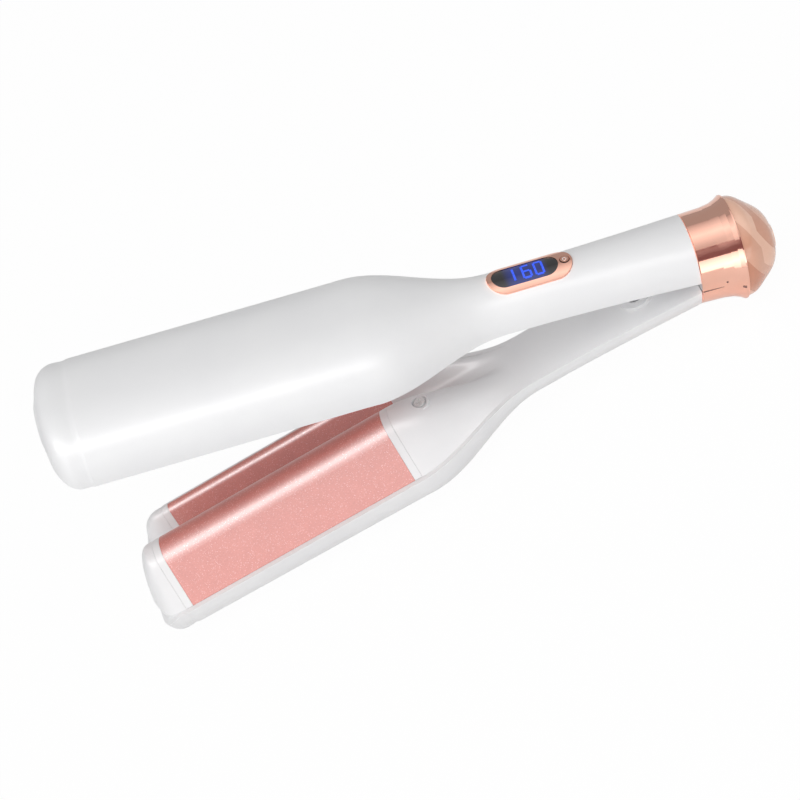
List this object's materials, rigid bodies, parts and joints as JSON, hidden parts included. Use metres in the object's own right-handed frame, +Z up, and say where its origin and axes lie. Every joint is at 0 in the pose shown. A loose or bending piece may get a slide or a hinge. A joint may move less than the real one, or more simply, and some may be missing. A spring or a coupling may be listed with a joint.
{
  "type": "hair waver",
  "caption": "Hair waver with two long paddle arms, deep S-shaped rose heated plates, a digital display on a slim handle, a metal collar and a faceted dome over the hinge.",
  "frame": {"origin": "centre of the resting footprint, on the table plane the lower arm and the collar lie on, arms held open", "axes": "+X from the plate tips towards the hinge and dome, +Y across the arms, +Z up"},
  "size_m": [0.2959, 0.0632, 0.1292],
  "materials": {
    "white_shell": "gloss white moulding",
    "wave_plate": "rose ceramic coating with fine sparkle",
    "rose_metal": "polished rose-gold plating",
    "dome_clear": "clear peach faceted plastic",
    "window": "smoked gloss window",
    "dark_plastic": "moulded",
    "digits": "lit blue segments",
    "board": "solder mask",
    "heater": "heating element",
    "steel": "plain",
    "fuse": "sleeve",
    "grey_plastic": "moulded nylon",
    "bushing": "soft",
    "lead_rubber": "silicone"
  },
  "bodies": {
    "lower_arm": {"lower_shell": "white_shell", "lower_cover": "white_shell", "lower_plate": "wave_plate", "lower_tip_strip": "white_shell", "lower_neck_strip": "white_shell", "lower_tip_cap": "white_shell", "lower_heater": "heater", "lower_heater_bridge": "steel", "cover_screw": "steel", "hinge_tongue": "steel", "hinge_pin": "steel", "opening_spring": "steel"},
    "upper_arm": {"upper_shell": "white_shell", "upper_cover": "white_shell", "upper_plate": "wave_plate", "upper_tip_strip": "white_shell", "upper_neck_strip": "white_shell", "upper_tip_cap": "white_shell", "upper_heater": "heater", "upper_heater_bridge": "steel", "upper_screw": "steel", "thermal_fuse": "fuse", "hinge_yoke": "grey_plastic", "collar": "rose_metal", "dome": "dome_clear", "cord_bushing": "bushing", "display_frame": "rose_metal", "display_window": "window", "display_module": "dark_plastic", "display_digits": "digits", "circuit_board": "board", "button_switch": "dark_plastic", "terminal_block": "grey_plastic", "leads": "lead_rubber"},
    "button": {"power_button": "rose_metal"},
    "lock": {"lock_slider": "rose_metal"}
  },
  "joints": [
    {"name": "arm_hinge", "type": "hinge", "parent": "lower_arm", "child": "upper_arm", "pos_m": [0.11945, 0, 0.02872], "axis": [0, 1, 0], "range_deg": [-19, 0], "stiffness_Nm_per_rad": 0.8, "springref_deg": 40.11, "deforming": ["opening_spring"]},
    {"name": "power_press", "type": "slide", "parent": "upper_arm", "child": "button", "axis": [-0.3121, 0, -0.9501], "range_m": [0, 0.0008], "stiffness_N_per_m": 600, "springref_m": -0.0008},
    {"name": "lock_slide", "type": "slide", "parent": "upper_arm", "child": "lock", "axis": [0.9501, 0, -0.3121], "range_m": [0, 0.003]}
  ]
}
